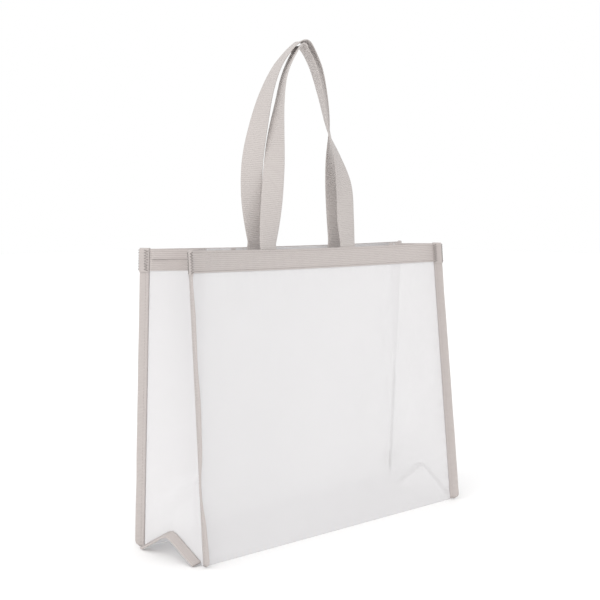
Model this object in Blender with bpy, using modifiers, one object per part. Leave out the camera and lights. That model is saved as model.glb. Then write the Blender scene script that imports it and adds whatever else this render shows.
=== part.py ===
"""Sheer beach tote bag, in metres: +X along its width, -Y to its front, +Z up.

The origin is on the ground at the middle of the base. One U-shaped sheet of mesh makes the front,
base and back, and two gussets close its ends. Every cut edge is bound with folded tape. The bag is
modelled as it stands empty: its gussets are folded in at the mouth, and the middle fold of its base
has sprung up. Sheets are open surfaces with a Solidify modifier.
"""

import math

import bmesh
import bpy
from mathutils import Vector

# Body
BODY_WIDTH = 0.500
BASE_DEPTH = 0.125  # from the front fold to the back fold, as the base stands
SIDE_LENGTH = 0.401  # front or back, along the cloth from base fold to top edge
GUSSET_WIDTH = 0.150  # the gusset and the base as they were cut
MESH_THICKNESS = 0.001

# Mouth, measured across the bag at the top edge
BACK_LEAN = 0.0185  # how far the back's top corners stand in from the base
MOUTH_DEPTH_LEFT = 0.080
MOUTH_DEPTH_RIGHT = 0.067
MOUTH_GAP = 0.0265  # at the middle, where the handles draw the sides together
MOUTH_MIDDLE_Y = 0.0132  # the middle of that gap
BOW_POWER = 2.2  # 2 is a round bow, and more is flatter at the handles

# Gusset and base folds
FOLD_RISE = 0.30  # share of the height over which the gusset's fold turns from up to inwards
BASE_POP_LEFT = 0.82  # how much of its slack the base fold takes up at each end
BASE_POP_RIGHT = 1.20
BASE_FOOT = 0.004  # flat part of the base beside its front and back folds

# Tape
TRIM_HEIGHT = 0.028
TRIM_THICKNESS = 0.0012
TRIM_RISE = 0.0008  # the tape's top edge stands above the mesh
BINDING_WIDTH = 0.012
BINDING_THICKNESS = 0.0024
TAB_WIDTH = 0.0135
TAB_THICKNESS = 0.0044
TAB_RISE = 0.002
BACK_TURN = 27.0  # degrees between +Y and each back binding
FRONT_RIGHT_TURN_TOP = 9.0  # degrees between -Y and the front right binding
FRONT_RIGHT_TURN_BASE = 26.0
FRONT_LEFT_TURN_TOP = 27.0
FRONT_LEFT_TURN_BASE = 10.0
BASE_BINDING_DROOP = 37.0  # degrees below level, away from the corners

# Handles
STRAP_WIDTH = 0.030
STRAP_THICKNESS = 0.0014
STRAP_SPACING = 0.080  # from the middle of the bag to the middle of each leg
HINGE_RISE = 0.010  # the strap folds over this far above the mesh's top edge
HINGE_RELIEF = 0.0010
HANDLE_RISE = 0.281  # crown of the back handle above its fold
NEST_GAP = 0.0080  # the front handle's crown passes under the back handle's
LOOP_SPACING = 0.0248  # between the two loops above the mouth, before they lean together
SPRING_SHARE = 0.20  # of the rise, over which each loop takes that spacing

# Care label
LABEL_WIDTH = 0.018
LABEL_HEIGHT = 0.027
LABEL_BOTTOM = 0.036
LABEL_THICKNESS = 0.0008
LABEL_ANGLE = 212.0  # degrees from +X, as it stands

SEAM_GAP = 0.0004  # between pieces that are sewn together
HALF_DEPTH = BASE_DEPTH / 2
HALF_WIDTH = BODY_WIDTH / 2
UP = Vector((0, 0, 1))

# Each handle's line as it stands, from its left foot over the crown to its right foot. A station is
# the place across the bag as a share of STRAP_SPACING, the height as a share of the rise, and how
# far the strap's width has turned from the bag's width, in degrees.
BACK_LINE = (
    (-1.00, 0.00, 0),
    (-1.09, 0.20, -28),
    (-1.08, 0.38, -47),
    (-0.95, 0.56, -70),
    (-0.75, 0.75, -95),
    (-0.46, 0.90, -110),
    (0.00, 1.00, -115),
    (0.41, 0.90, -115),
    (0.65, 0.75, -120),
    (0.81, 0.58, -135),
    (0.87, 0.40, -165),
    (0.97, 0.20, -192),
    (1.00, 0.00, -180),
)
FRONT_LINE = (
    (-1.00, 0.00, 0),
    (-0.91, 0.20, -33),
    (-0.85, 0.38, -57),
    (-0.79, 0.55, -85),
    (-0.69, 0.70, -108),
    (-0.54, 0.84, -118),
    (-0.26, 0.96, -118),
    (-0.05, 1.00, -117),
    (0.18, 0.91, -116),
    (0.36, 0.74, -122),
    (0.49, 0.58, -135),
    (0.74, 0.43, -156),
    (0.91, 0.28, -185),
    (0.95, 0.12, -190),
    (1.00, 0.00, -180),
)


def clear_scene():
    for obj in list(bpy.data.objects):
        bpy.data.objects.remove(obj)


def make_material(name, colour, roughness, alpha=1.0):
    made = bpy.data.materials.new(name)
    made.use_nodes = True
    shader = made.node_tree.nodes["Principled BSDF"]
    shader.inputs["Base Color"].default_value = (*colour, 1.0)
    shader.inputs["Roughness"].default_value = roughness
    shader.inputs["Metallic"].default_value = 0.0
    shader.inputs["Alpha"].default_value = alpha
    return made


def sheet(name, rows, thickness, made_of):
    """A sheet of the given thickness about the surface through rows of points."""
    bm = bmesh.new()
    grid = [[bm.verts.new(point) for point in row] for row in rows]
    for low, high in zip(grid, grid[1:]):
        for a, b, c, d in zip(low, low[1:], high[1:], high):
            bm.faces.new((a, b, c, d))
    mesh = bpy.data.meshes.new(name)
    bm.to_mesh(mesh)
    bm.free()
    mesh.materials.append(made_of)
    obj = bpy.data.objects.new(name, mesh)
    bag.objects.link(obj)
    shell = obj.modifiers.new("Thickness", "SOLIDIFY")
    shell.thickness = thickness
    shell.offset = 0
    shell.use_even_offset = True
    return obj


def mix(a, b, share):
    return a + (b - a) * share


def spread(low, high, count):
    return [mix(low, high, i / (count - 1)) for i in range(count)]


def smooth(share):
    share = min(1.0, max(0.0, share))
    return share * share * (3 - 2 * share)


def curve_through(stations, steps):
    """Points on the smooth curve through the stations, with this many steps between each pair."""
    points = []
    for i in range(len(stations) - 1):
        before, start, end, after = (
            Vector(stations[min(max(j, 0), len(stations) - 1)]) for j in range(i - 1, i + 3)
        )
        for t in (step / steps for step in range(steps)):
            points.append(
                start
                + (end - before) * (t / 2)
                + (2 * before - 5 * start + 4 * end - after) * (t**2 / 2)
                + (3 * start - before - 3 * end + after) * (t**3 / 2)
            )
    return points + [Vector(stations[-1])]


# The front and back are ruled surfaces: a straight base fold, and a top edge that bows inwards.


def mouth_y(side, x):
    """Y of the top edge, for side -1 the front and +1 the back."""
    back_corner = HALF_DEPTH - BACK_LEAN
    depth = MOUTH_DEPTH_LEFT if x < 0 else MOUTH_DEPTH_RIGHT
    corner = back_corner if side > 0 else back_corner - depth
    middle = MOUTH_MIDDLE_Y + side * MOUTH_GAP / 2
    return mix(middle, corner, (abs(x) / HALF_WIDTH) ** BOW_POWER)


def side_up(side, x):
    """The direction up the cloth of the front or back, at one place along the bag."""
    lean = HALF_DEPTH - side * mouth_y(side, x)
    return Vector((0, -side * lean, math.sqrt(SIDE_LENGTH**2 - lean**2))) / SIDE_LENGTH


def side_point(side, x, up, out=0.0):
    """A point on the front or back: up the cloth from the base fold, and out from its middle."""
    slope = side_up(side, x)
    outwards = Vector((0, side * slope.z, -side * slope.y))
    return Vector((x, side * HALF_DEPTH, 0)) + slope * up + outwards * out


# A gusset is folded down its middle. The fold's slack goes upwards at the base and inwards above.


def corner_point(end, side, share):
    """A point on a corner seam, for end -1 the left and +1 the right."""
    return side_point(side, end * HALF_WIDTH, share * SIDE_LENGTH)


def gusset_fold(end, share):
    """A point on the gusset's middle fold."""
    front = corner_point(end, -1, share)
    back = corner_point(end, 1, share)
    middle = (front + back) / 2
    slack = math.sqrt(max(GUSSET_WIDTH**2 - (back - front).length ** 2, 1e-6)) / 2
    turn = math.radians(90) * smooth(share / FOLD_RISE)
    pop = BASE_POP_LEFT if end < 0 else BASE_POP_RIGHT
    return middle + slack * Vector((-end * math.sin(turn), 0, pop * math.cos(turn)))


def gusset_row(end, side, share, near, far, out=0.0):
    """Two points across half a gusset, this far from its corner and from its middle fold."""
    corner = corner_point(end, side, share)
    fold = gusset_fold(end, share)
    across = (fold - corner).normalized()
    step = 0.01 if share < 0.5 else -0.01
    up = (mix(*ends_of_half(end, side, share + step), 0.5) - (corner + fold) / 2) * step
    outwards = across.cross(up).normalized() * -end * side
    shift = outwards * out
    return [corner + across * near + shift, fold - across * far + shift]


def ends_of_half(end, side, share):
    return corner_point(end, side, share), gusset_fold(end, share)


def ridge_height(x):
    return mix(gusset_fold(-1, 0).z, gusset_fold(1, 0).z, x / BODY_WIDTH + 0.5)


def make_panels():
    edge = MESH_THICKNESS / 2 + SEAM_GAP
    for side, name in ((-1, "front_panel"), (1, "back_panel")):
        rows = [
            [side_point(side, x, edge), side_point(side, x, SIDE_LENGTH)]
            for x in spread(-HALF_WIDTH, HALF_WIDTH, 21)
        ]
        sheet(name, rows, MESH_THICKNESS, mesh_cloth)


def make_base():
    """The base springs up along its middle fold, and stands on a flat beside each outer fold."""
    middle = MESH_THICKNESS / 2
    outer = HALF_DEPTH - MESH_THICKNESS - SEAM_GAP
    inset = HALF_WIDTH - SEAM_GAP
    rows = []
    for x in spread(-inset, inset, 9):
        half = [(outer, middle), (outer - BASE_FOOT, middle), (0, ridge_height(x))]
        section = half + [(-y, z) for y, z in half[1::-1]]
        rows.append([Vector((x, y, z)) for y, z in section])
    sheet("base_panel", rows, MESH_THICKNESS, mesh_cloth)


def gusset_start(end, side, share):
    """How far across a gusset its cloth begins, so that its edge clears the front or back."""
    corner, fold = ends_of_half(end, side, share)
    across = (fold - corner).normalized()
    inner = side_point(side, end * (HALF_WIDTH - GUSSET_WIDTH / 10), share * SIDE_LENGTH)
    normal = (corner - inner).cross(side_up(side, end * HALF_WIDTH)).normalized()
    sine = abs(across.dot(normal))
    return (MESH_THICKNESS / 2 * (1 + math.sqrt(1 - sine**2)) + 2 * SEAM_GAP) / sine


def gusset_stop(end, share, thickness):
    """How far from its fold half a gusset ends, so that it clears the other half."""
    fold = gusset_fold(end, share)
    front = (fold - corner_point(end, -1, share)).normalized()
    back = (fold - corner_point(end, 1, share)).normalized()
    sine = (front - back).length / 2
    return (thickness * math.sqrt(1 - sine**2) + SEAM_GAP) / sine


def make_gussets():
    """Each gusset is one piece of mesh. It is two solids here, so that it can open at its fold."""
    trim_out = (MESH_THICKNESS + TRIM_THICKNESS) / 2 + 1.5 * SEAM_GAP
    trim_shares = (1 - TRIM_HEIGHT / SIDE_LENGTH, 1 + TRIM_RISE / SIDE_LENGTH)
    lowest = 2 * (MESH_THICKNESS + SEAM_GAP) / SIDE_LENGTH
    for end, end_name in ENDS:
        for side, side_name in SIDES:
            rows = [
                gusset_row(
                    end,
                    side,
                    share,
                    gusset_start(end, side, share),
                    gusset_stop(end, share, MESH_THICKNESS / 2),
                )
                for share in spread(lowest, 1, 19)
            ]
            sheet(f"{end_name}_gusset_{side_name}", rows, MESH_THICKNESS, mesh_cloth)
            rows = [
                gusset_row(
                    end,
                    side,
                    share,
                    gusset_start(end, side, share),
                    gusset_stop(end, share, trim_out + TRIM_THICKNESS / 2),
                    trim_out,
                )
                for share in spread(*trim_shares, 3)
            ]
            sheet(f"{end_name}_gusset_trim_{side_name}", rows, TRIM_THICKNESS, webbing)


def make_top_trims():
    out = (MESH_THICKNESS + TRIM_THICKNESS) / 2 + 1.5 * SEAM_GAP
    for side, side_name in SIDES:
        rows = [
            [
                side_point(side, x, SIDE_LENGTH - TRIM_HEIGHT, out),
                side_point(side, x, SIDE_LENGTH + TRIM_RISE, out),
            ]
            for x in spread(-HALF_WIDTH + SEAM_GAP, HALF_WIDTH - SEAM_GAP, 21)
        ]
        sheet(f"{side_name}_top_trim", rows, TRIM_THICKNESS, webbing)


def flange_turn(end, side, share):
    """Degrees that a corner's seam flange turns, towards its end of the bag, from straight out."""
    if side > 0:
        return BACK_TURN
    if end > 0:
        return mix(FRONT_RIGHT_TURN_BASE, FRONT_RIGHT_TURN_TOP, smooth(share))
    return mix(FRONT_LEFT_TURN_BASE, FRONT_LEFT_TURN_TOP, smooth(share))


def flange_rows(end, side, shares, width, root):
    rows = []
    for share in shares:
        turn = math.radians(flange_turn(end, side, share))
        direction = Vector((end * math.sin(turn), side * math.cos(turn), 0))
        corner = corner_point(end, side, share)
        rows.append([corner + direction * root, corner + direction * (root + width)])
    return rows


def make_corner_bindings():
    """Folded tape over each corner seam, and a tab of the same tape over the seam's top end."""
    tab_base = 1 - (TRIM_HEIGHT + TAB_RISE) / SIDE_LENGTH
    tab_top = 1 + TAB_RISE / SIDE_LENGTH
    root = MESH_THICKNESS / 2 + SEAM_GAP + BINDING_THICKNESS / 2
    tab_root = MESH_THICKNESS / 2 + TRIM_THICKNESS + 2 * SEAM_GAP + TAB_THICKNESS / 2
    swing = BINDING_WIDTH / 8  # the front ends stay off the ground as the front tips out
    for end, end_name in ENDS:
        for side, side_name in SIDES:
            corner = f"{side_name}_{end_name}"
            lift = (swing if side < 0 else SEAM_GAP) / SIDE_LENGTH
            shares = spread(lift, tab_base - SEAM_GAP / SIDE_LENGTH, 13)
            rows = flange_rows(end, side, shares, BINDING_WIDTH, root)
            sheet(f"{corner}_binding", rows, BINDING_THICKNESS, tape)
            rows = flange_rows(end, side, spread(tab_base, tab_top, 3), TAB_WIDTH, tab_root)
            sheet(f"{corner}_tab", rows, TAB_THICKNESS, tape)


def make_base_bindings():
    """Folded tape over the seam between gusset and base: up one slope and down the other."""
    clear = BINDING_THICKNESS + 3 * SEAM_GAP
    reach = HALF_DEPTH - clear - BINDING_WIDTH / 4
    root = HALF_WIDTH + 2 * SEAM_GAP
    for end, end_name in ENDS:
        ridge = gusset_fold(end, 0).z
        rows = []
        for y in spread(-reach, reach, 23):
            height = ridge * (1 - abs(y) / HALF_DEPTH)
            seam = Vector((end * root, y, height + BINDING_THICKNESS / 2))
            down = min(math.sin(math.radians(BASE_BINDING_DROOP)), height / BINDING_WIDTH)
            out = Vector((end * math.sqrt(1 - down**2), 0, -down))
            rows.append([seam, seam + out * BINDING_WIDTH])
        sheet(f"{end_name}_base_binding", rows, BINDING_THICKNESS, tape)


def strap_foot(side):
    """The middle of a handle's hinge line, between its two legs."""
    inside = -(MESH_THICKNESS + STRAP_THICKNESS) / 2 - SEAM_GAP
    feet = [
        side_point(side, x, SIDE_LENGTH + HINGE_RISE, inside)
        for x in (-STRAP_SPACING, STRAP_SPACING)
    ]
    return (feet[0] + feet[1]) / 2


def make_strap_ends():
    """The ends of each handle are sewn to the inside of the top edge, under the trim."""
    inside = -(MESH_THICKNESS + STRAP_THICKNESS) / 2 - SEAM_GAP
    low = SIDE_LENGTH - TRIM_HEIGHT
    for side, side_name in SIDES:
        foot = strap_foot(side)
        for end, end_name in ENDS:
            middle = end * STRAP_SPACING
            half = STRAP_WIDTH / 2
            rows = [
                [
                    side_point(side, x, low, inside),
                    side_point(side, x, SIDE_LENGTH, inside),
                    Vector((x, foot.y, foot.z - HINGE_RELIEF)),
                ]
                for x in spread(middle - half, middle + half, 4)
            ]
            name = f"{side_name}_handle_{end_name}_end"
            sheet(name, rows, STRAP_THICKNESS, webbing)


def make_handles():
    """Each handle turns half round from foot to foot, and the front one's crown is under the back's."""
    for side, side_name, line in ((-1, "front", FRONT_LINE), (1, "back", BACK_LINE)):
        foot = strap_foot(side)
        loop_y = (strap_foot(-1).y + strap_foot(1).y + side * LOOP_SPACING) / 2
        crown = foot.z + HANDLE_RISE
        if side < 0:
            crown = strap_foot(1).z + HANDLE_RISE - NEST_GAP
        crown_y = MOUTH_MIDDLE_Y + side * STRAP_THICKNESS
        path, turns = [], []
        for share_x, height, turn in curve_through(line, 4):
            sprung_y = mix(foot.y, loop_y, smooth(height / SPRING_SHARE))
            y = mix(sprung_y, crown_y, max(height, 0) ** 4)
            path.append(Vector((share_x * STRAP_SPACING, y, mix(foot.z, crown, height))))
            turns.append(math.radians(turn))
        rows = []
        for i, (point, turn) in enumerate(zip(path, turns)):
            across = Vector((math.cos(turn), math.sin(turn), 0))
            if 0 < i < len(path) - 1:
                forward = (path[i + 1] - path[i - 1]).normalized()
                across = (across - forward * across.dot(forward)).normalized()
            rows.append([point - across * STRAP_WIDTH / 2, point + across * STRAP_WIDTH / 2])
        sheet(f"{side_name}_handle", rows, STRAP_THICKNESS, webbing)


def make_care_label():
    """A blank label, sewn into the back right seam on the inside."""
    share = (LABEL_BOTTOM + LABEL_HEIGHT / 2) / SIDE_LENGTH
    corner = corner_point(1, 1, share)
    angle = math.radians(LABEL_ANGLE)
    direction = Vector((math.cos(angle), math.sin(angle), 0))
    root = corner + direction * 6 * MESH_THICKNESS
    half = UP * LABEL_HEIGHT / 2
    rows = [[root - half, root + half]]
    rows.append([point + direction * LABEL_WIDTH for point in rows[0]])
    sheet("care_label", rows, LABEL_THICKNESS, label_cloth)


clear_scene()
bag = bpy.data.collections.new("beach_bag")
bpy.context.scene.collection.children.link(bag)

ENDS = ((-1, "left"), (1, "right"))
SIDES = ((-1, "front"), (1, "back"))

mesh_cloth = make_material("sheer_mesh", (0.82, 0.80, 0.79), 0.7, 0.6)
webbing = make_material("ribbed_webbing", (0.56, 0.52, 0.50), 0.75)
tape = make_material("binding_tape", (0.54, 0.51, 0.49), 0.8)
label_cloth = make_material("label_cloth", (0.60, 0.59, 0.57), 0.6)

make_panels()
make_base()
make_gussets()
make_top_trims()
make_corner_bindings()
make_base_bindings()
make_strap_ends()
make_handles()
make_care_label()
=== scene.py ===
import math

import bmesh
import bpy
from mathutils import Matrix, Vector, noise


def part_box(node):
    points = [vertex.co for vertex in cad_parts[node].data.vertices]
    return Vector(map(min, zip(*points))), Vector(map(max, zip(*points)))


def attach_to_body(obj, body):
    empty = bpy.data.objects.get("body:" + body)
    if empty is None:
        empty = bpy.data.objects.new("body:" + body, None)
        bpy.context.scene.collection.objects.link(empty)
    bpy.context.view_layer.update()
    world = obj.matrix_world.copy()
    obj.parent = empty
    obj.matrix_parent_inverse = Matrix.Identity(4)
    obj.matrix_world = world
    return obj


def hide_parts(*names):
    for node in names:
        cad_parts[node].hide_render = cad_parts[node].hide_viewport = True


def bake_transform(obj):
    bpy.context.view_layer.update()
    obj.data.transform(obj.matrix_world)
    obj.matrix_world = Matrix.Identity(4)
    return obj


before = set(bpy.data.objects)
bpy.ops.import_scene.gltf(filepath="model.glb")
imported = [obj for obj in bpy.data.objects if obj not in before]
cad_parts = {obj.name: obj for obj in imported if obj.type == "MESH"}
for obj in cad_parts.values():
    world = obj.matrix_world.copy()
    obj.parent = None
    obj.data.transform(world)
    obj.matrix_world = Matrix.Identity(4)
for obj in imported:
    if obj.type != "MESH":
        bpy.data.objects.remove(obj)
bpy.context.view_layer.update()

# The setting: a matt white studio floor that runs on out of sight, and a white room.
# The room lights the bag evenly from all round, and one very broad soft light from the left and
# a little in front makes the surfaces that face it slightly brighter.
FLOOR_COLOUR = "#F7F7F7"
FLOOR_REACH = 9.0  # metres from the bag to each edge
ROOM_COLOUR = "#FFFFFF"
ROOM_STRENGTH = 1.0
LIGHT_COLOUR = "#FFFCFA"
LIGHT_AIM = (0.90, 0.46, -0.60)  # the way the light travels
LIGHT_STRENGTH = 1.2
LIGHT_SPREAD = 75  # degrees across
CAMERA_PLACE = (-1.1838, -1.1904, 0.4540)
CAMERA_YAW = 44.39  # degrees, from straight ahead towards the right
CAMERA_PITCH = 4.46  # degrees below level
CAMERA_LENS = 70.4  # millimetres
CAMERA_SENSOR = 36.0  # millimetres across


def linear(colour):
    """The linear red, green, blue and alpha of an sRGB hex colour."""
    values = [int(colour[i : i + 2], 16) / 255 for i in (1, 3, 5)]
    return (*(v / 12.92 if v <= 0.04045 else ((v + 0.055) / 1.055) ** 2.4 for v in values), 1.0)


def add_node(tree, kind, settings=(), inputs=(), links=()):
    """One node, with its settings, the values on its sockets, and the sockets that feed it."""
    node = tree.nodes.new(kind)
    for name, value in dict(settings).items():
        setattr(node, name, value)
    for socket, value in dict(inputs).items():
        node.inputs[socket].default_value = value
    for socket, source in dict(links).items():
        tree.links.new(source, node.inputs[socket])
    return node


def new_material(name, colour, roughness):
    """A material with its node tree and shader, in one colour until its pattern is linked in."""
    made = bpy.data.materials.new(name)
    made.use_nodes = True
    shader = made.node_tree.nodes["Principled BSDF"]
    shader.inputs["Base Color"].default_value = linear(colour)
    shader.inputs["Roughness"].default_value = roughness
    return made, made.node_tree, shader


# Matt emulsion paint: no shine at all, so it shows only the soft shadow that the bag casts.
floor_paint, _, _ = new_material("matt_white_studio_floor", FLOOR_COLOUR, 0.9)
floor_mesh = bpy.data.meshes.new("floor")
floor_corners = [
    (x * FLOOR_REACH, y * FLOOR_REACH, 0) for x, y in ((-1, -1), (1, -1), (1, 1), (-1, 1))
]
floor_mesh.from_pydata(floor_corners, [], [(0, 1, 2, 3)])
floor_mesh.materials.append(floor_paint)
floor = bpy.data.objects.new("floor", floor_mesh)
bpy.context.scene.collection.objects.link(floor)

room = bpy.data.worlds.new("white_room")
room.use_nodes = True
room.node_tree.nodes["Background"].inputs["Color"].default_value = linear(ROOM_COLOUR)
room.node_tree.nodes["Background"].inputs["Strength"].default_value = ROOM_STRENGTH
bpy.context.scene.world = room

light_data = bpy.data.lights.new("soft_light", "SUN")
light_data.energy = LIGHT_STRENGTH
light_data.angle = math.radians(LIGHT_SPREAD)
light_data.color = linear(LIGHT_COLOUR)[:3]
soft_light = bpy.data.objects.new("soft_light", light_data)
soft_light.rotation_euler = Vector(LIGHT_AIM).to_track_quat("-Z", "Y").to_euler()
bpy.context.scene.collection.objects.link(soft_light)

camera_data = bpy.data.cameras.new("camera")
camera_data.sensor_width = CAMERA_SENSOR
camera_data.lens = CAMERA_LENS
camera = bpy.data.objects.new("camera", camera_data)
camera.location = CAMERA_PLACE
camera.rotation_euler = (math.radians(90 - CAMERA_PITCH), 0.0, math.radians(-CAMERA_YAW))
bpy.context.scene.collection.objects.link(camera)
bpy.context.scene.camera = camera
bpy.context.scene.view_settings.view_transform = "Standard"


# The body: one sheet of sheer nylon mesh, 500 mm wide, that runs down the front, under the base
# and up the back. It is cut flat and only folded, and it stands on its two long base folds with
# the middle of the base sprung up. The rim draws it in at the middle, where the handles pull.
BODY_WIDTH = 0.500  # from seam to seam
BASE_DEPTH = 0.125  # from fold to fold, as it stands
SIDE_LENGTH = 0.401  # up the cloth, from a base fold to the rim
GUSSET_WIDTH = 0.150  # of a gusset, and of the base between its folds, when flat
BACK_LEAN = 0.0185  # how far in front of its base fold the back's upper corners stand
MOUTH_DEPTH_LEFT = 0.080  # from front corner to back corner, at the rim
MOUTH_DEPTH_RIGHT = 0.067
MOUTH_GAP = 0.0265  # at the middle of the rim, which the handles draw together
MOUTH_MIDDLE_Y = 0.0132
BOW_POWER = 2.2  # the higher it is, the nearer its corners the rim curves
FOLD_RISE = 0.30  # share of the height over which a gusset's fold turns from up to inwards
BASE_POP = {-1: 0.82, 1: 1.20}  # how far the base springs up at each end, against its slack
HALF_DEPTH = BASE_DEPTH / 2
HALF_WIDTH = BODY_WIDTH / 2
MESH_COLOUR = "#CECDCE"
# MESH_SHADE is painted shade for the gaps between the threads, and also the colour of the random
# patches
MESH_SHADE = "#C0BFC0"
MESH_GLOW = 0.27  # stands in for the light that the threads scatter through the cloth
MESH_COVER = 0.70  # the share of the light that the threads stop
MESH_PITCH = 0.0011  # the real mesh is nearer 0.6 mm, which is too fine to show
PUCKER_PITCH = 0.019  # the seam gathers the cloth a little at each few stitches
PUCKER_HEIGHT = 0.0005
SAG = 0.0022  # slack cloth between the seams stands out or in by about this much
SWELL_SIZE = (0.16, 0.13)  # how broad its swells are, across and up
CREASE_SIZE = (0.045, 0.20)  # and the soft upright creases on them
CLOTH_SEEDS = {-1: 3.1, 1: 11.7}  # so that front and back swell in different places
SEAM_HOLD = 0.05  # metres over which a seam, the base fold and the rim each hold the cloth flat
FOLD_HOLD = 0.03
RIM_HOLD = 0.06
PUCKER_FADE = 0.016  # metres from a seam over which its puckers die out
GATHER_PLACE = 0.03  # metres under the rim, where its lower row of stitches gathers the cloth
GATHER_FADE = 0.012


def mix(a, b, share):
    """The point that lies this share of the way from a to b."""
    return a + (b - a) * share


def spread(low, high, count):
    """This many values, evenly spaced from low to high."""
    return [mix(low, high, i / (count - 1)) for i in range(count)]


def smooth(share):
    """A share from 0 to 1 that sets off and arrives gently."""
    share = min(1.0, max(0.0, share))
    return share * share * (3 - 2 * share)


def mouth_y(side, x):
    """Y of the top edge, for side -1 the front and +1 the back."""
    depth = MOUTH_DEPTH_LEFT if x < 0 else MOUTH_DEPTH_RIGHT
    back_corner = HALF_DEPTH - BACK_LEAN
    corner = back_corner if side > 0 else back_corner - depth
    return mix(MOUTH_MIDDLE_Y + side * MOUTH_GAP / 2, corner, (abs(x) / HALF_WIDTH) ** BOW_POWER)


def side_point(side, x, up, out=0.0):
    """A point on the front or back: up the cloth from the base fold, and out from its middle."""
    lean = HALF_DEPTH - side * mouth_y(side, x)
    slope = Vector((0, -side * lean, math.sqrt(SIDE_LENGTH**2 - lean**2))) / SIDE_LENGTH
    outwards = Vector((0, side * slope.z, -side * slope.y))
    return Vector((x, side * HALF_DEPTH, 0)) + slope * up + outwards * out


def corner_point(end, side, share):
    """A point on the upright seam at one end of the front or back, by its share of the height."""
    return side_point(side, end * HALF_WIDTH, share * SIDE_LENGTH)


def gusset_fold(end, share):
    """A point on a gusset's middle fold: its slack goes up at the base and inwards above."""
    front = corner_point(end, -1, share)
    back = corner_point(end, 1, share)
    least = 1e-6  # keeps the root real where the gusset is stretched flat
    slack = math.sqrt(max(GUSSET_WIDTH**2 - (back - front).length ** 2, least)) / 2
    turn = math.radians(90) * smooth(share / FOLD_RISE)
    lift = Vector((-end * math.sin(turn), 0, BASE_POP[end] * math.cos(turn)))
    return (front + back) / 2 + slack * lift


def ridge_height(x):
    """How high the middle of the base has sprung up, which differs from end to end."""
    return mix(gusset_fold(-1, 0).z, gusset_fold(1, 0).z, x / BODY_WIDTH + 0.5)


def cloth_wave(x, up, seed):
    """How far slack cloth stands out of its plane: broad swells, and puckers along its seams."""
    swell = noise.noise(Vector((x / SWELL_SIZE[0], up / SWELL_SIZE[1], seed)))
    crease = noise.noise(Vector((x / CREASE_SIZE[0], up / CREASE_SIZE[1], seed + 7.3)))
    from_seam = HALF_WIDTH - abs(x)
    from_rim = SIDE_LENGTH - up
    free = smooth(from_seam / SEAM_HOLD) * smooth(up / FOLD_HOLD) * smooth(from_rim / RIM_HOLD)
    pucker = math.sin(2 * math.pi * up / PUCKER_PITCH + 2.5 * swell)
    pucker *= math.exp(-from_seam / PUCKER_FADE)
    gather = math.sin(2 * math.pi * x / PUCKER_PITCH + 3 * swell)
    gather *= math.exp(-abs(from_rim - GATHER_PLACE) / GATHER_FADE)
    return SAG * free * (1.6 * swell + 0.5 * crease) + PUCKER_HEIGHT * (pucker + 0.5 * gather)


def sheet_piece(name, rows, material):
    """An open sheet through rows of points, with its own UV map in metres along both ways."""
    mesh = bpy.data.meshes.new(name)
    wide = len(rows[0])
    faces = [
        (i * wide + j, i * wide + j + 1, (i + 1) * wide + j + 1, (i + 1) * wide + j)
        for i in range(len(rows) - 1)
        for j in range(wide - 1)
    ]
    mesh.from_pydata([tuple(point) for row in rows for point in row], [], faces)
    across, along = [], []
    middle = rows[len(rows) // 2]
    total = 0.0
    for j in range(wide):
        total += (middle[j] - middle[j - 1]).length if j else 0.0
        across.append(total)
    total = 0.0
    for i in range(len(rows)):
        total += (rows[i][wide // 2] - rows[i - 1][wide // 2]).length if i else 0.0
        along.append(total)
    uv = mesh.uv_layers.new(name="UVMap")
    for loop in mesh.loops:
        i, j = divmod(loop.vertex_index, wide)
        uv.data[loop.index].uv = (across[j], along[i])
    mesh.shade_smooth()
    mesh.materials.append(material)
    piece = bpy.data.objects.new(name, mesh)
    bpy.context.scene.collection.objects.link(piece)
    return piece


def rounded(rows, passes):
    """Rows eased along their length, so that a fold in the cloth is round and not a knife edge."""
    for _ in range(passes):
        rows = [rows[0]] + [
            [(a + 2 * b + c) / 4 for a, b, c in zip(*trio)]
            for trio in zip(rows, rows[1:], rows[2:])
        ] + [rows[-1]]
    return rows


def stripes(tree, coordinate, pitch):
    """A wave from -1 to 1 along one coordinate, once in each pitch, like threads side by side."""
    turns = add_node(
        tree,
        "ShaderNodeMath",
        {"operation": "MULTIPLY"},
        {1: 2 * math.pi / pitch},
        {0: coordinate},
    )
    wave = add_node(tree, "ShaderNodeMath", {"operation": "SINE"}, links={0: turns.outputs[0]})
    return wave.outputs[0]


# Knitted nylon mesh: a fine square net of matt thread. Light passes between the threads, so what
# is behind shows faintly. The gaps between the threads are painted darker, as painted shade in the
# hollows of the knit, and the cloth is also patchy at random.
mesh_cloth, tree, shader = new_material("sheer_nylon_mesh", MESH_COLOUR, 0.62)
shader.inputs["Alpha"].default_value = MESH_COVER
shader.inputs["Emission Color"].default_value = linear(MESH_COLOUR)
shader.inputs["Emission Strength"].default_value = MESH_GLOW
shader.inputs["Sheen Weight"].default_value = 0.25
shader.inputs["Sheen Roughness"].default_value = 0.4
shader.inputs["Specular IOR Level"].default_value = 0.25
place = add_node(tree, "ShaderNodeTexCoord")
axes = add_node(tree, "ShaderNodeSeparateXYZ", links={"Vector": place.outputs["UV"]})
threads = [stripes(tree, axes.outputs[axis], MESH_PITCH) for axis in ("X", "Y")]
net = add_node(
    tree, "ShaderNodeMath", {"operation": "MAXIMUM"}, links={0: threads[0], 1: threads[1]}
)
cloud = add_node(
    tree,
    "ShaderNodeTexNoise",
    inputs={"Scale": 14.0, "Detail": 3.0},
    links={"Vector": place.outputs["Object"]},
)
knit_hollow_shade = add_node(
    tree,
    "ShaderNodeMapRange",
    inputs={"From Min": -1.0, "From Max": 1.0, "To Min": 0.40, "To Max": 0.0},
    links={"Value": net.outputs[0]},
)
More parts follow.
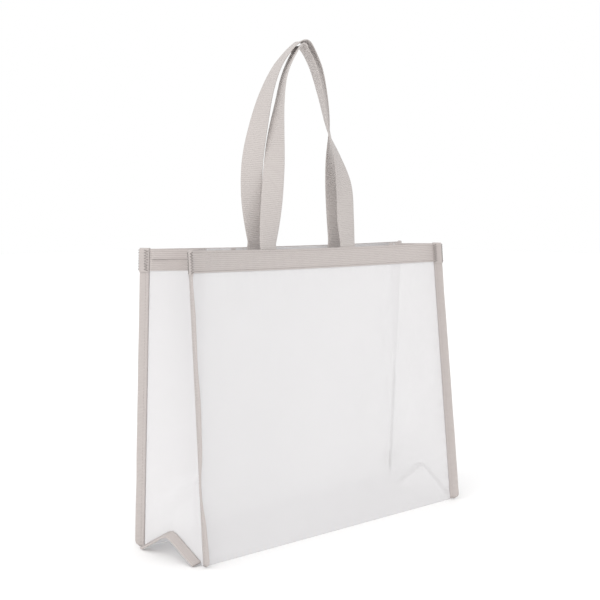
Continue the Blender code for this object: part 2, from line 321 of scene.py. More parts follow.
patchy = add_node(
    tree,
    "ShaderNodeMapRange",
    inputs={"From Min": 0.3, "From Max": 0.7, "To Min": 0.0, "To Max": 0.10},
    links={"Value": cloud.outputs["Fac"]},
)
shade = add_node(
    tree, "ShaderNodeMath", {"operation": "ADD"}, links={0: knit_hollow_shade.outputs[0], 1: patchy.outputs[0]}
)
tint = add_node(
    tree,
    "ShaderNodeMix",
    {"data_type": "RGBA"},
    {6: linear(MESH_COLOUR), 7: linear(MESH_SHADE)},
    {0: shade.outputs[0]},
)
tree.links.new(tint.outputs[2], shader.inputs["Base Color"])
relief = add_node(
    tree,
    "ShaderNodeBump",
    inputs={"Strength": 0.35, "Distance": 0.0003},
    links={"Height": net.outputs[0]},
)
tree.links.new(relief.outputs["Normal"], shader.inputs["Normal"])

BODY_COLUMNS = 141
SIDE_ROWS = 125
BASE_ROWS = 45
OFF_GROUND = 0.0001  # the cloth's own thickness keeps its middle this far up
RIDGE_POWER = 1.06  # just over 1, so that the base's two slopes are almost flat
columns = spread(-HALF_WIDTH, HALF_WIDTH, BODY_COLUMNS)
# The rows lie closest together by the base folds, so that a fold stays sharp once it is eased.
side_heights = [SIDE_LENGTH * share**1.5 for share in spread(0, 1, SIDE_ROWS)]
body_rows = [
    [side_point(-1, x, up, cloth_wave(x, up, CLOTH_SEEDS[-1])) for x in columns]
    for up in side_heights[::-1]
]
for angle in spread(-90, 90, BASE_ROWS)[1:-1]:
    share = math.sin(math.radians(angle))
    slope = 1 - abs(share) ** RIDGE_POWER
    body_rows.append(
        [Vector((x, share * HALF_DEPTH, OFF_GROUND + ridge_height(x) * slope)) for x in columns]
    )
body_rows += [
    [side_point(1, x, up, cloth_wave(x, up, CLOTH_SEEDS[1])) for x in columns]
    for up in side_heights
]
body = sheet_piece("body_cloth", rounded(body_rows, 2), mesh_cloth)
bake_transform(body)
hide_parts("front_panel", "base_panel", "back_panel")


# The gussets: a strip of the same mesh closes each end, 150 mm wide and creased down its middle.
# Empty, it folds into the bag between the two sides, deepest at the rim. At the base its crease
# springs up with the base. It is cut as one piece, so it is one sheet here.
ENDS = ((-1, "left"), (1, "right"))
GUSSET_BELLY = 0.0022  # each half stands out between its crease and its seam by about this much
BELLY_CHANGE = 0.0020  # and by up to this much more or less from place to place
GUSSET_ROWS = 101
GUSSET_COLUMNS = 17  # in each half
gussets = {}
for end, end_name in ENDS:
    rows = []
    for share in spread(0.0, 1.0, GUSSET_ROWS):
        fold = gusset_fold(end, share)
        row = []
        for side in (-1, 1):
            corner = corner_point(end, side, share)
            half = []
            for across in spread(0.0, 1.0, GUSSET_COLUMNS):
                belly = 4 * across * (1 - across)
                wave = noise.noise(Vector((across * 1.3, share * 3.2, 5.0 * end + side)))
                reach = GUSSET_BELLY + BELLY_CHANGE * wave
                out = Vector((end, 0, 0)) * belly * reach * smooth(share / 0.1)
                half.append(mix(corner, fold, across) + out)
            row += half if side < 0 else half[-2::-1]
        rows.append(row)
    columns_first = rounded([list(column) for column in zip(*rows)], 2)
    rows = [list(row) for row in zip(*columns_first)]
    if end > 0:
        rows = rows[::-1]
    gussets[end] = sheet_piece(f"{end_name}_gusset_cloth", rows, mesh_cloth)
    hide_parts(f"{end_name}_gusset_front", f"{end_name}_gusset_back")


def blend_gusset(piece):
    """Bakes the placing of a gusset piece into its mesh."""
    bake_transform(piece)


for piece in gussets.values():
    blend_gusset(piece)


# The rim: 28 mm polyester webbing sewn flat round the outside of the mouth, over the mesh's cut
# edge. On the front and back it lies nearly flat, and on each gusset it folds in with the crease.
RIM_HEIGHT = 0.028
RIM_THICKNESS = 0.0012
RIM_COLOUR = "#C3BCB9"
RIM_SHADE = "#9D9592"
RIM_RIB_PITCH = 0.0026  # real ribs are about 1.3 mm apart, drawn wider so that they show
RIM_OVER = 0.0008  # the webbing stands this far over the top of the cloth
RIM_EDGE = 0.0004  # radius of its woven edges
CLOTH_GAP = 0.0004  # from the middle of the cloth to the face of a tape sewn on it
THREAD_PROUD = 0.0002  # from a tape's face to the middle of the thread
TURNOVER_HEIGHT = 0.0125  # the inner fold of the gussets' webbing
TURNOVER_GAPE = 0.0009  # how far it stands open at its lower edge, near the seam
TURNOVER_THICKNESS = 0.0010


def webbing_material(name, colour, shade, rib_axis, pitch, depth, roughness):
    """Woven polyester: rounded ribs one way, finer threads across them, and a faint soft sheen."""
    made, tree, shader = new_material(name, colour, roughness)
    shader.inputs["Sheen Weight"].default_value = 0.15
    shader.inputs["Sheen Roughness"].default_value = 0.5
    shader.inputs["Specular IOR Level"].default_value = 0.2
    place = add_node(tree, "ShaderNodeTexCoord")
    axes = add_node(tree, "ShaderNodeSeparateXYZ", links={"Vector": place.outputs["UV"]})
    thread_axis = "X" if rib_axis == "Y" else "Y"
    ribs = stripes(tree, axes.outputs[rib_axis], pitch)
    threads = stripes(tree, axes.outputs[thread_axis], pitch * 0.45)
    fuzz = add_node(
        tree,
        "ShaderNodeTexNoise",
        inputs={"Scale": 420.0, "Detail": 2.0},
        links={"Vector": place.outputs["Object"]},
    )
    cross = add_node(
        tree,
        "ShaderNodeMath",
        {"operation": "MULTIPLY_ADD"},
        {1: 0.25},
        {0: threads, 2: ribs},
    )
    height = add_node(
        tree,
        "ShaderNodeMath",
        {"operation": "MULTIPLY_ADD"},
        {1: 0.2},
        {0: fuzz.outputs["Fac"], 2: cross.outputs[0]},
    )
    # Painted shade: the furrows between the ribs and threads are painted towards the shade colour,
    # mottled at random by the fuzz.
    furrow_shade = add_node(
        tree,
        "ShaderNodeMapRange",
        inputs={"From Min": -1.2, "From Max": 0.6, "To Min": depth, "To Max": 0.0},
        links={"Value": height.outputs[0]},
    )
    tint = add_node(
        tree,
        "ShaderNodeMix",
        {"data_type": "RGBA"},
        {6: linear(colour), 7: linear(shade)},
        {0: furrow_shade.outputs[0]},
    )
    tree.links.new(tint.outputs[2], shader.inputs["Base Color"])
    relief = add_node(
        tree,
        "ShaderNodeBump",
        inputs={"Strength": 0.6, "Distance": 0.0004},
        links={"Height": height.outputs[0]},
    )
    tree.links.new(relief.outputs["Normal"], shader.inputs["Normal"])
    return made


def thicken(piece, thickness, edge):
    """Gives a flat tape its thickness, and the round edges that a woven selvedge has."""
    solidify = piece.modifiers.new("thickness", "SOLIDIFY")
    solidify.thickness = thickness
    solidify.offset = 0.0
    bevel = piece.modifiers.new("selvedge", "BEVEL")
    bevel.width = edge
    bevel.segments = 2
    bevel.limit_method = "ANGLE"
    bevel.angle_limit = math.radians(50)


def stitch_nodes(name, sockets):
    """A new Geometry Nodes group that turns seam lines into stitches, and its two end nodes."""
    tree = bpy.data.node_groups.new(name, "GeometryNodeTree")
    tree.interface.new_socket("Seam lines", in_out="INPUT", socket_type="NodeSocketGeometry")
    for label, kind in sockets:
        tree.interface.new_socket(label, in_out="INPUT", socket_type=f"NodeSocket{kind}")
    tree.interface.new_socket("Stitches", in_out="OUTPUT", socket_type="NodeSocketGeometry")
    return tree, add_node(tree, "NodeGroupInput"), add_node(tree, "NodeGroupOutput")


def finish_stitches(tree, given, end, stitches):
    """Every stitch group ends the same way: real geometry, in the thread's material."""
    real = add_node(tree, "GeometryNodeRealizeInstances", links={"Geometry": stitches})
    threaded = add_node(
        tree,
        "GeometryNodeSetMaterial",
        links={"Geometry": real.outputs[0], "Material": given.outputs["Thread"]},
    )
    tree.links.new(threaded.outputs[0], end.inputs["Stitches"])


def sew(name, tree, lines, values, material, attach):
    """Runs a stitch group along lines of points, each with the way the seam's width goes.

    The stitches become one plain mesh, which attach then fixes to the body that it moves with.
    """
    points, edges, widths = [], [], []
    for line, width in lines:
        start = len(points)
        points += [tuple(point) for point in line]
        widths += [width] * len(line)
        edges += [(start + i, start + i + 1) for i in range(len(line) - 1)]
    guide_mesh = bpy.data.meshes.new(f"{name}_lines")
    guide_mesh.from_pydata(points, edges, [])
    stored = guide_mesh.attributes.new("seam_width", "FLOAT_VECTOR", "POINT")
    for i, width in enumerate(widths):
        stored.data[i].vector = width
    guide = bpy.data.objects.new(f"{name}_lines", guide_mesh)
    bpy.context.scene.collection.objects.link(guide)
    modifier = guide.modifiers.new("stitches", "NODES")
    modifier.node_group = tree
    for item in tree.interface.items_tree:
        if item.in_out == "INPUT" and item.name in values:
            modifier[item.identifier] = values[item.name]
        elif item.in_out == "INPUT" and item.name == "Thread":
            modifier[item.identifier] = material
    graph = bpy.context.evaluated_depsgraph_get()
    mesh = bpy.data.meshes.new_from_object(guide.evaluated_get(graph))
    bpy.data.objects.remove(guide)
    mesh.name = name
    mesh.shade_smooth()
    piece = bpy.data.objects.new(name, mesh)
    bpy.context.scene.collection.objects.link(piece)
    attach(piece)


# A lock stitch shows as a row of short plump dashes of spun polyester thread.
lock_stitch, given, end_node = stitch_nodes(
    "lock_stitch_row",
    (("Pitch", "Float"), ("Length", "Float"), ("Radius", "Float"), ("Thread", "Material")),
)
curve = add_node(
    lock_stitch, "GeometryNodeMeshToCurve", links={"Mesh": given.outputs["Seam lines"]}
)
spaced = add_node(
    lock_stitch,
    "GeometryNodeResampleCurve",
    {"mode": "LENGTH"},
    links={"Curve": curve.outputs[0], "Length": given.outputs["Pitch"]},
)
bead = add_node(
    lock_stitch, "GeometryNodeMeshUVSphere", inputs={"Segments": 6, "Rings": 4, "Radius": 1.0}
)
half_length = add_node(
    lock_stitch, "ShaderNodeMath", {"operation": "MULTIPLY"}, {1: 0.5}, {0: given.outputs["Length"]}
)
plump = add_node(
    lock_stitch,
    "ShaderNodeCombineXYZ",
    links={"X": half_length.outputs[0], "Y": given.outputs["Radius"], "Z": given.outputs["Radius"]},
)
dash = add_node(
    lock_stitch,
    "GeometryNodeTransform",
    links={"Geometry": bead.outputs["Mesh"], "Scale": plump.outputs[0]},
)
tangent = add_node(lock_stitch, "GeometryNodeInputTangent")
turned = add_node(
    lock_stitch,
    "FunctionNodeAlignRotationToVector",
    {"axis": "X"},
    links={"Vector": tangent.outputs[0]},
)
placed = add_node(
    lock_stitch,
    "GeometryNodeInstanceOnPoints",
    links={"Points": spaced.outputs[0], "Instance": dash.outputs[0], "Rotation": turned.outputs[0]},
)
finish_stitches(lock_stitch, given, end_node, placed.outputs[0])

# Spun polyester sewing thread: hairy and matt, and a little darker than the webbing it holds.
THREAD_COLOUR = "#B3ABA8"
thread, _, _ = new_material("spun_polyester_thread", THREAD_COLOUR, 0.7)
LOCK_VALUES = {"Pitch": 0.0040, "Length": 0.0031, "Radius": 0.00032}
NO_WIDTH = (0.0, 0.0, 0.0)


def rim_point(side, x, up, out):
    """A point out from the rim of the front or back, which follows the cloth that it is sewn to."""
    cloth_up = min(up, SIDE_LENGTH - RIM_HEIGHT)
    return side_point(side, x, up, out + cloth_wave(x, cloth_up, CLOTH_SEEDS[side]))


def gusset_outwards(end, across):
    """Level, square to a gusset's half that runs along across, and out of the bag."""
    outwards = Vector((-across.y, across.x, 0)).normalized()
    return -outwards if outwards.x * end < 0 else outwards


# Ribbed polyester webbing, unglazed: level ribs catch the light and the furrows between are
# painted grey, as painted shade.
rim_webbing = webbing_material(
    "ribbed_polyester_webbing", RIM_COLOUR, RIM_SHADE, "Y", RIM_RIB_PITCH, 0.45, 0.75
)
rim_out = RIM_THICKNESS / 2 + CLOTH_GAP
rim_low = SIDE_LENGTH - RIM_HEIGHT
rim_heights = spread(rim_low, SIDE_LENGTH + RIM_OVER, 9)
for side, side_name, body_name in ((-1, "front", "front_side"), (1, "back", "bag_shell")):
    ordered = columns if side < 0 else columns[::-1]
    rows = [[rim_point(side, x, up, rim_out) for x in ordered] for up in rim_heights]
    piece = sheet_piece(f"{side_name}_rim_webbing", rows, rim_webbing)
    on_rim = rim_out + RIM_THICKNESS / 2 + THREAD_PROUD
    sewn = [
        ([rim_point(side, x, up, on_rim) for x in columns], NO_WIDTH)
        for up in (rim_low + 0.0022, SIDE_LENGTH - 0.0018)
    ]
    sew(
        f"{side_name}_rim_stitches",
        lock_stitch,
        sewn,
        LOCK_VALUES,
        thread,
        lambda made, body_name=body_name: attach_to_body(made, body_name),
    )
    thicken(piece, RIM_THICKNESS, RIM_EDGE)
    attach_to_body(piece, body_name)
    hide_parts(f"{side_name}_top_trim")
for end, end_name in ENDS:
    rows = []
    for up in rim_heights:
        share = up / SIDE_LENGTH
        fold = gusset_fold(end, share)
        row = []
        for side in (-1, 1):
            corner = corner_point(end, side, share)
            across = (fold - corner).normalized()
            outwards = gusset_outwards(end, across)
            reach = (fold - corner).length
            half = [
                corner + across * along + outwards * rim_out
                for along in spread(0.0, reach - 1.1 * rim_out, GUSSET_COLUMNS)
            ]
            row += half if side < 0 else half[::-1]
        rows.append(row)
    columns_first = rounded([list(column) for column in zip(*rows)], 1)
    rows = [list(row) for row in zip(*columns_first)]
    if end > 0:
        rows = rows[::-1]
    piece = sheet_piece(f"{end_name}_gusset_rim_webbing", rows, rim_webbing)
    thicken(piece, RIM_THICKNESS, RIM_EDGE)
    blend_gusset(piece)
    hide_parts(f"{end_name}_gusset_trim_front", f"{end_name}_gusset_trim_back")
    # Here the webbing is turned down over itself, so its edge shows half way up, a little open.
    for side in (-1, 1):
        flap_rows = []
        for up in spread(SIDE_LENGTH - TURNOVER_HEIGHT, SIDE_LENGTH + RIM_OVER, 7):
            share = up / SIDE_LENGTH
            corner = corner_point(end, side, share)
            across = (gusset_fold(end, share) - corner).normalized()
            reach = (gusset_fold(end, share) - corner).length
            outwards = gusset_outwards(end, across)
            gape = TURNOVER_GAPE * smooth((SIDE_LENGTH - up) / TURNOVER_HEIGHT)
            flap_row = []
            for along in spread(0.0016, reach - 4.2 * rim_out, 15):
                out = rim_out + RIM_THICKNESS + gape * smooth((0.045 - along) / 0.04)
                flap_row.append(corner + across * along + outwards * out)
            flap_rows.append(flap_row)
        if end * side < 0:
            flap_rows = [row[::-1] for row in flap_rows]
        side_name = "front" if side < 0 else "back"
        flap = sheet_piece(f"{end_name}_{side_name}_rim_turnover", flap_rows, rim_webbing)
        thicken(flap, TURNOVER_THICKNESS, 0.0003)
        blend_gusset(flap)


# The bindings: each upright seam stands out as a flange, and a 25 mm grosgrain tape is folded
# over it and sewn through. Each flange has taken its own set, and it wanders a little along its
# length because the stitching draws the tape up.
TAPE_WIDTH = 0.012  # of each half, from the seam to the fold
UPRIGHT_SLACK = 0.0018  # an upright tape stands this much wider, round the seam's bulk
BASE_SLACK = 0.0008  # and a base one this much
TAPE_DEPTH = 0.0024  # over both halves and the seam between them
TAPE_PLY = 0.0006
TAPE_COLOUR = "#C0B9B6"
TAPE_SHADE = "#A09996"
TAPE_RIB_PITCH = 0.0019  # real ribs are under 1 mm apart, drawn wider so that they show
TAPE_CORNER = 0.0075  # radius that its lower outer corner is trimmed to
TAPE_ROWS = 120
BACK_TURNS = {-1: 27.0, 1: 38.0}  # degrees that a flange turns from straight out to its own end
FRONT_TURNS = {-1: (10.0, 27.0), 1: (26.0, 9.0)}  # at the base and at the rim
NEAR_BEND = 24.0  # degrees more, where the front left flange is bent aside
BEND_PLACE = 0.26  # as a share of the height
BEND_SPREAD = 0.13
WANDER = 8.0  # degrees
FRONT_LIFT = 0.0015  # keeps the front ends off the ground as the front tips out
TAB_COVER = 0.0265  # the tape's top end stops this far under the rim, where the tab takes over
BEDDED = 0.0001  # from the face of the soft tape to the middle of the thread pulled into it
STITCH_PLACE = 0.36  # share of the tape's width, out from the seam


def flange_direction(end, side, share):
    """The way a corner's flange stands out, with the small wander that its stitching gives it."""
    turn = BACK_TURNS[end] if side > 0 else mix(*FRONT_TURNS[end], smooth(share))
    if side < 0 and end < 0:
        turn += NEAR_BEND * math.exp(-(((share - BEND_PLACE) / BEND_SPREAD) ** 2))
    wander = WANDER * noise.noise(Vector((share * 7.0, 3.0 * end, 2.0 * side)))
    turn = math.radians(turn + wander * smooth(share / 0.1) * smooth((1 - share) / 0.1))
    return Vector((end * math.sin(turn), side * math.cos(turn), 0))


def tape_profile(width, depth, steps=7):
    """A tape folded over an edge, from one free edge round the fold to the other: out and aside."""
    radius = depth / 2
    straight = [(out, radius) for out in spread(0.0, width - radius, steps)]
    bend = [
        (width - radius + radius * math.sin(angle), radius * math.cos(angle))
        for angle in spread(0, math.pi, 9)[1:-1]
    ]
    return straight + bend + [(out, -aside) for out, aside in straight[::-1]]


def folded_tape(name, line, directions, width, depth, attach, rounding=0.0):
    """Tape folded lengthwise over a seam that follows line, standing out along directions.

    The rounding is the radius that its lower outer corner is trimmed to, where it starts.
    """
    profile = tape_profile(width, depth - TAPE_PLY)
    rows = []
    sewn = {1: [], -1: []}
    for i, (point, direction) in enumerate(zip(line, directions)):
        along = (line[min(i + 1, len(line) - 1)] - line[max(i - 1, 0)]).normalized()
        outwards = (direction - along * direction.dot(along)).normalized()
        aside = along.cross(outwards)
        cut = max(0.0, 1 - (point - line[0]).length / rounding) if rounding else 0.0
        trimmed = 1 - rounding / width * (1 - math.sqrt(1 - cut**2)) if rounding else 1.0
        rows.append([point + outwards * out * trimmed + aside * off for out, off in profile])
        for face, seam in sewn.items():
            in_tape = aside * face * (depth / 2 + BEDDED)
            seam.append(point + outwards * width * STITCH_PLACE + in_tape)
    piece = sheet_piece(name, rows, binding_tape)
    solidify = piece.modifiers.new("ply", "SOLIDIFY")
    solidify.thickness = TAPE_PLY
    solidify.offset = 0.0
    sew(
        f"{name}_stitches",
        lock_stitch,
        [(seam[2:-2], NO_WIDTH) for seam in sewn.values()],
        LOCK_VALUES,
        thread,
        attach,
    )
    attach(piece)
    return piece


# Polyester grosgrain: thin and matt, with fine close ribs across it that only just show.
binding_tape = webbing_material(
    "grosgrain_binding_tape", TAPE_COLOUR, TAPE_SHADE, "Y", TAPE_RIB_PITCH, 0.22, 0.8
)
tape_bodies = {-1: "front_side", 1: "bag_shell"}
for end, end_name in ENDS:
    for side, side_name in ((-1, "front"), (1, "back")):
        low = FRONT_LIFT / SIDE_LENGTH if side < 0 else 0.001
        shares = spread(low, 1 - TAB_COVER / SIDE_LENGTH, TAPE_ROWS)
        line = [corner_point(end, side, share) for share in shares]
        directions = [flange_direction(end, side, share) for share in shares]
        piece = folded_tape(
            f"{side_name}_{end_name}_seam_tape",
            line,
            directions,
            TAPE_WIDTH + UPRIGHT_SLACK,
            TAPE_DEPTH,
            lambda made, body_name=tape_bodies[side]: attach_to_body(made, body_name),
            TAPE_CORNER,
        )
        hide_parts(f"{side_name}_{end_name}_binding")

# Two more bindings cross the ends of the base: up to its sprung ridge, and down the other side.
BASE_DROOP = 24.0  # degrees below level, away from the corners
BASE_REACH = 0.0565  # from the middle to each end, just short of the upright bindings
RIDGE_EASE = 0.06  # share of its height that the ridge loses where the tape rounds it
RIDGE_EASE_SPREAD = 0.006
for end, end_name in ENDS:
    ridge = gusset_fold(end, 0).z
    line, directions = [], []
    for y in spread(-BASE_REACH, BASE_REACH, 90):
        height = ridge * (1 - abs(y) / HALF_DEPTH)
        rounding = ridge * RIDGE_EASE * math.exp(-((y / RIDGE_EASE_SPREAD) ** 2))
        line.append(Vector((end * (HALF_WIDTH + CLOTH_GAP), y, height - rounding + 0.0016)))
        down = min(math.sin(math.radians(BASE_DROOP)), height / TAPE_WIDTH)
        directions.append(Vector((end * math.sqrt(1 - down**2), 0, -down)))
    piece = folded_tape(
        f"{end_name}_base_seam_tape",
        line,
        directions,
        TAPE_WIDTH + BASE_SLACK,
        TAPE_DEPTH,
        blend_gusset,
    )
    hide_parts(f"{end_name}_base_binding")


# The corner tabs: at the rim a short length of the same tape is folded over the end of each
# flange, to cover the raw end of the binding. It is wider and thicker than the binding, with
# rounded corners, and a dense bar of stitches holds it.
TAB_WIDTH = 0.0135
TAB_SLACK = 0.0020  # it stands this much wider, round the binding's end
TAB_DEPTH = 0.0042
TAB_TOP = 0.002  # it stands this far over the rim, and as far under it
TAB_RINGS = 26
TAB_CORNER = 0.0022  # over this height its top closes in to a rounded end
BAR_WIDTH = 0.0052  # of the zigzag over each face
BAR_VALUES = {"Pitch": 0.0017, "Radius": 0.0005}
BAR_COLOUR = "#6F6865"
# A zigzag bar: the thread crosses from side to side of its line, a stitch at a time.
bar_stitch, given, end_node = stitch_nodes(
    "zigzag_bar", (("Pitch", "Float"), ("Radius", "Float"), ("Thread", "Material"))
)
curve = add_node(
    bar_stitch, "GeometryNodeMeshToCurve", links={"Mesh": given.outputs["Seam lines"]}
)
spaced = add_node(
    bar_stitch,
    "GeometryNodeResampleCurve",
    {"mode": "LENGTH"},
    links={"Curve": curve.outputs[0], "Length": given.outputs["Pitch"]},
)
counted = add_node(bar_stitch, "GeometryNodeInputIndex")
turn_about = add_node(
    bar_stitch, "ShaderNodeMath", {"operation": "MODULO"}, {1: 2.0}, {0: counted.outputs[0]}
)
swing = add_node(
    bar_stitch, "ShaderNodeMath", {"operation": "SUBTRACT"}, {1: 0.5}, {0: turn_about.outputs[0]}
)
width_way = add_node(
    bar_stitch,
    "GeometryNodeInputNamedAttribute",
    {"data_type": "FLOAT_VECTOR"},
    {"Name": "seam_width"},
)
aside_by = add_node(
    bar_stitch,
    "ShaderNodeVectorMath",
    {"operation": "SCALE"},
    links={0: width_way.outputs["Attribute"], "Scale": swing.outputs[0]},
)
zigzag = add_node(
    bar_stitch,
    "GeometryNodeSetPosition",
    links={"Geometry": spaced.outputs[0], "Offset": aside_by.outputs[0]},
)
round_thread = add_node(
    bar_stitch,
    "GeometryNodeCurvePrimitiveCircle",
    inputs={"Resolution": 6},
    links={"Radius": given.outputs["Radius"]},
)
corded = add_node(
    bar_stitch,
    "GeometryNodeCurveToMesh",
    inputs={"Fill Caps": True},
    links={"Curve": zigzag.outputs[0], "Profile Curve": round_thread.outputs[0]},
)
finish_stitches(bar_stitch, given, end_node, corded.outputs[0])
# The same spun polyester in a darker grey: packed close, it shows as a small dark bar.
bar_thread, _, _ = new_material("grey_bar_tack_thread", BAR_COLOUR, 0.7)
for end, end_name in ENDS:
    for side, side_name in ((-1, "front"), (1, "back")):
        low, high = rim_low - TAB_TOP, SIDE_LENGTH + TAB_TOP
        points, faces = [], []
        heights = spread(low, high, TAB_RINGS)
        profile = tape_profile(TAB_WIDTH + TAB_SLACK, TAB_DEPTH, 5)
        loop = profile + [(0.0, mix(-1, 1, i / 3) * TAB_DEPTH / 2) for i in (1, 2)]
        direction = flange_direction(end, side, 1.0)
        aside = Vector((0, 0, 1)).cross(direction)
        for up in heights:
            from_top = high - up
            round_top = math.sqrt(max(0.0, 1 - max(0.0, 1 - from_top / TAB_CORNER) ** 2))
            swell = mix(0.35, 1.0, round_top)
            corner = corner_point(end, side, up / SIDE_LENGTH)
            narrow = mix(0.93, 1.0, smooth(min(up - low, from_top) / 0.002))
            points += [corner + direction * out * narrow + aside * off * swell for out, off in loop]
        wide = len(loop)
        for i in range(TAB_RINGS - 1):
            for j in range(wide):
                k = (j + 1) % wide
                faces.append((i * wide + j, (i + 1) * wide + j, (i + 1) * wide + k, i * wide + k))
        faces.append(tuple(range(wide)))
        faces.append(tuple(range((TAB_RINGS - 1) * wide, TAB_RINGS * wide))[::-1])
        mesh = bpy.data.meshes.new(f"{side_name}_{end_name}_corner_tab")
        mesh.from_pydata([tuple(point) for point in points], [], faces)
        bm = bmesh.new()
        bm.from_mesh(mesh)
        bmesh.ops.recalc_face_normals(bm, faces=bm.faces)
        uv = bm.loops.layers.uv.new("UVMap")
        for face in bm.faces:
            for corner_loop in face.loops:
                spot = corner_loop.vert.co
                corner_loop[uv].uv = (spot.dot(direction), spot.z)
        bm.to_mesh(mesh)
        bm.free()
        mesh.shade_smooth()
        mesh.materials.append(binding_tape)
        piece = bpy.data.objects.new(mesh.name, mesh)
        bpy.context.scene.collection.objects.link(piece)
        bar_heights = spread(low + 0.0022, high - 0.0028, 8)
        bars = []
        for face in (-1, 1):
            bar = [
                corner_point(end, side, up / SIDE_LENGTH)
                + direction * (TAB_WIDTH * 0.34)
                + aside * face * (TAB_DEPTH / 2 + BEDDED)
                for up in bar_heights
            ]
            bars.append((bar, direction * BAR_WIDTH))
        edge = [
            corner_point(end, side, up / SIDE_LENGTH) + direction * (TAB_WIDTH + 0.0021)
            for up in bar_heights
        ]
        bars.append((edge, aside * TAB_DEPTH * 0.8))
        sew(
            f"{side_name}_{end_name}_bar_tack",
            bar_stitch,
            bars,
            BAR_VALUES,
            bar_thread,
            lambda made, body_name=tape_bodies[side]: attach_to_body(made, body_name),
        )
        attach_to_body(piece, tape_bodies[side])
        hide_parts(f"{side_name}_{end_name}_tab")


# The handles: two loops of 30 mm polyester webbing. Each end is sewn to the inside of the rim,
# and each loop turns half round from one end to the other, because both ends are sewn flat. The
# loops lean together, and the front one's crown stands under the back one's.
STRAP_WIDTH = 0.030
STRAP_THICKNESS = 0.0016
STRAP_EDGE = 0.0005  # radius of its woven edges
STRAP_COLUMNS = 7
STRAP_SPACING = 0.080  # from the middle of the bag to the middle of each leg
HINGE_RISE = 0.010  # over the rim, to the line where a strap folds as its loop swings
FOOT_INSET = 0.0016  # from the middle of the cloth in to the strap, at that line
HANDLE_RISE = 0.281  # from that line to the back loop's crown
NEST_GAP = 0.0080  # from the back loop's crown down to the front one's
CROWN_SPACING = 0.0014  # of each crown from the middle of the mouth
LOOP_SPACING = 0.0248  # between the loops above the mouth, before they lean together
SPRING_SHARE = 0.20  # of the rise, over which each loop takes that spacing
STRAP_COLOUR = "#C0BAB7"
STRAP_SHADE = "#A09996"
# The reverse's colours are painted lighter than the face's: painted light on the faces that turn
# from the lamp.
REVERSE_COLOUR_PAINTED_LIGHTER = "#CAC4C1"
REVERSE_SHADE = "#B0A9A6"
STRAP_RIB_PITCH = 0.0026  # real ribs are about 1.3 mm apart, drawn wider so that they show
# The stations of each loop: the place across the bag as a share of STRAP_SPACING, the height as a
# share of the rise, and how far the strap's width has turned from the bag's width, in degrees.
BACK_LINE = (
    (-1.00, 0.00, 0),
    (-1.09, 0.20, -28),
    (-1.08, 0.38, -47),
    (-0.95, 0.56, -70),
    (-0.75, 0.75, -95),
    (-0.46, 0.90, -110),
    (0.00, 1.00, -115),
    (0.41, 0.90, -115),
    (0.65, 0.75, -120),
    (0.81, 0.58, -135),
    (0.87, 0.40, -165),
    (0.97, 0.20, -192),
    (1.00, 0.00, -180),
)
FRONT_LINE = (
    (-1.00, 0.00, 0),
    (-0.91, 0.20, -33),
    (-0.85, 0.38, -57),
    (-0.79, 0.55, -85),
    (-0.69, 0.70, -108),
    (-0.54, 0.84, -118),
    (-0.26, 0.96, -118),
    (-0.05, 1.00, -117),
    (0.18, 0.91, -116),
    (0.36, 0.74, -122),
    (0.49, 0.58, -135),
    (0.74, 0.43, -156),
    (0.91, 0.28, -185),
    (0.95, 0.12, -190),
    (1.00, 0.00, -180),
)


def curve_through(stations, steps):
    """Points on the smooth curve through the stations, with this many steps between each pair."""
    points = []
    for i in range(len(stations) - 1):
        before, start, end, after = (
            Vector(stations[min(max(j, 0), len(stations) - 1)]) for j in range(i - 1, i + 3)
        )
        for t in (step / steps for step in range(steps)):
            points.append(
                start
                + (end - before) * (t / 2)
                + (2 * before - 5 * start + 4 * end - after) * (t**2 / 2)
                + (3 * start - before - 3 * end + after) * (t**3 / 2)
            )
    return points + [Vector(stations[-1])]


def strap_foot(side):
    """The middle of a handle's folding line, half way between its two legs."""
    up = SIDE_LENGTH + HINGE_RISE
    feet = [side_point(side, end * STRAP_SPACING, up, -FOOT_INSET) for end in (-1, 1)]
    return (feet[0] + feet[1]) / 2


# Ribbed polyester webbing, softer and smoother than the rim's: its low ribs shine a little.
strap_webbing = webbing_material(
    "ribbed_handle_webbing", STRAP_COLOUR, STRAP_SHADE, "Y", STRAP_RIB_PITCH, 0.25, 0.6
)
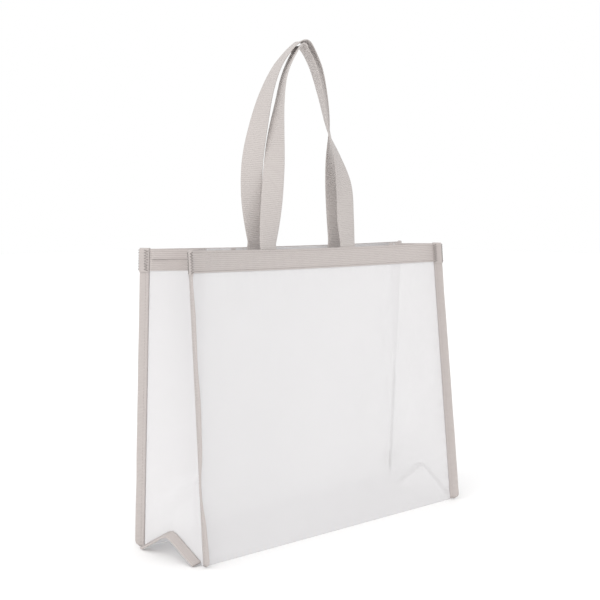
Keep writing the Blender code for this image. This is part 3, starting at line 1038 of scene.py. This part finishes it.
# The reverse of the webbing carries the long threads, so it is flatter, duller and streaked along.
# Its colours are painted lighter than the face's, as painted light on the faces turned from the
# lamp.
strap_reverse = webbing_material(
    "reverse_of_handle_webbing", REVERSE_COLOUR_PAINTED_LIGHTER, REVERSE_SHADE, "X", 0.0030, 0.35, 0.75
)
strap_inside = -(STRAP_THICKNESS / 2 + CLOTH_GAP)
in_strap = strap_inside - STRAP_THICKNESS / 2 - THREAD_PROUD
for side, side_name, line, body_name in (
    (-1, "front", FRONT_LINE, "front_side"),
    (1, "back", BACK_LINE, "bag_shell"),
):
    foot = strap_foot(side)
    loop_y = (strap_foot(-1).y + strap_foot(1).y + side * LOOP_SPACING) / 2
    crown = strap_foot(1).z + HANDLE_RISE - (NEST_GAP if side < 0 else 0.0)
    crown_y = MOUTH_MIDDLE_Y + side * CROWN_SPACING
    path, turns = [], []
    for share_x, height, turn in curve_through(line, 14):
        sprung_y = mix(foot.y, loop_y, smooth(height / SPRING_SHARE))
        y = mix(sprung_y, crown_y, max(height, 0.0) ** 4)
        path.append(Vector((share_x * STRAP_SPACING, y, mix(foot.z, crown, height))))
        turns.append(math.radians(turn))
    strap_rows = []
    for i, (point, turn) in enumerate(zip(path, turns)):
        across = Vector((math.cos(turn), math.sin(turn), 0))
        if 0 < i < len(path) - 1:
            forward = (path[i + 1] - path[i - 1]).normalized()
            across = (across - forward * across.dot(forward)).normalized()
        row = [point + across * STRAP_WIDTH * s / 2 for s in spread(-1, 1, STRAP_COLUMNS)]
        strap_rows.append(row)
    tails = {}
    for end in (-1, 1):
        tail = []
        # Sewn flat inside the rim, the strap leaves the cloth by degrees on its way to the hinge.
        for up in spread(rim_low + 0.001, SIDE_LENGTH + HINGE_RISE - 0.0015, 12):
            settle = smooth((up - SIDE_LENGTH + 0.004) / (HINGE_RISE + 0.003))
            row = []
            for s in spread(end, -end, STRAP_COLUMNS):
                x = end * STRAP_SPACING + s * STRAP_WIDTH / 2
                sewn = side_point(side, x, up, strap_inside)
                row.append(mix(sewn, Vector((x, foot.y, sewn.z)), settle))
            tail.append(row)
        tails[end] = tail
    rows = rounded(tails[-1] + strap_rows + tails[1][::-1], 2)
    piece = sheet_piece(f"{side_name}_handle_strap", rows, strap_webbing)
    thicken(piece, STRAP_THICKNESS, STRAP_EDGE)
    piece.data.materials.append(strap_reverse)
    piece.modifiers["thickness"].material_offset = 1
    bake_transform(piece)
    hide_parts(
        f"{side_name}_handle",
        f"{side_name}_handle_left_end",
        f"{side_name}_handle_right_end",
    )
    # Each end is held by a box of stitches with a cross in it.
    boxes = []
    for end in (-1, 1):
        low, high = rim_low + 0.0035, SIDE_LENGTH - 0.004
        left, right = (end * STRAP_SPACING + s * (STRAP_WIDTH / 2 - 0.003) for s in (-1, 1))
        outline = [(left, low), (right, low), (right, high), (left, high), (left, low)]
        for path_points in (outline, [(left, low), (right, high)], [(right, low), (left, high)]):
            line = []
            for (x0, up0), (x1, up1) in zip(path_points, path_points[1:]):
                line += [
                    side_point(side, mix(x0, x1, t), mix(up0, up1, t), in_strap)
                    for t in spread(0, 1, 9)
                ]
            boxes.append((line, NO_WIDTH))
    sew(
        f"{side_name}_handle_box_stitches",
        lock_stitch,
        boxes,
        LOCK_VALUES,
        thread,
        lambda made, body_name=body_name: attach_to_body(made, body_name),
    )


# The care label: a blank satin tab, 18 by 27 mm, sewn into the back right seam on the inside. It
# stands out a little from the seam and curls towards its free edge.
LABEL_COLOUR_PAINTED_DARK = "#8F8884"
LABEL_THICKNESS = 0.0003
LABEL_CURL = 0.0009
LABEL_RIB_PITCH = 0.0007
# Woven satin ribbon: close fine ribs with a slight gleam. It is painted darker than the cloth it
# is seen through, as painted shade on the opaque label seen edge-on.
label_satin, tree, shader = new_material("woven_satin_label", LABEL_COLOUR_PAINTED_DARK, 0.45)
shader.inputs["Sheen Weight"].default_value = 0.2
place = add_node(tree, "ShaderNodeTexCoord")
axes = add_node(tree, "ShaderNodeSeparateXYZ", links={"Vector": place.outputs["UV"]})
relief = add_node(
    tree,
    "ShaderNodeBump",
    inputs={"Strength": 0.3, "Distance": 0.0001},
    links={"Height": stripes(tree, axes.outputs["Y"], LABEL_RIB_PITCH)},
)
tree.links.new(relief.outputs["Normal"], shader.inputs["Normal"])
label_low, label_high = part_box("care_label")
label_root = Vector((label_high[0] - 0.0003, label_high[1] - 0.0004, label_low[2]))
label_tip = Vector((label_low[0] + 0.0002, label_low[1] + 0.0003, label_low[2]))
label_height = label_high[2] - label_low[2]
rows = []
for share in spread(0, 1, 12):
    curl = Vector((0.55, -0.85, 0)) * LABEL_CURL * math.sin(math.pi * share)
    spot = mix(label_root, label_tip, share) + curl
    rows.append([spot + Vector((0, 0, label_height * s)) for s in spread(0, 1, 12)])
care_label = sheet_piece("blank_care_label", rows, label_satin)
solidify = care_label.modifiers.new("thickness", "SOLIDIFY")
solidify.thickness = LABEL_THICKNESS
solidify.offset = 0.0
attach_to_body(care_label, "label")
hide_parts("care_label")
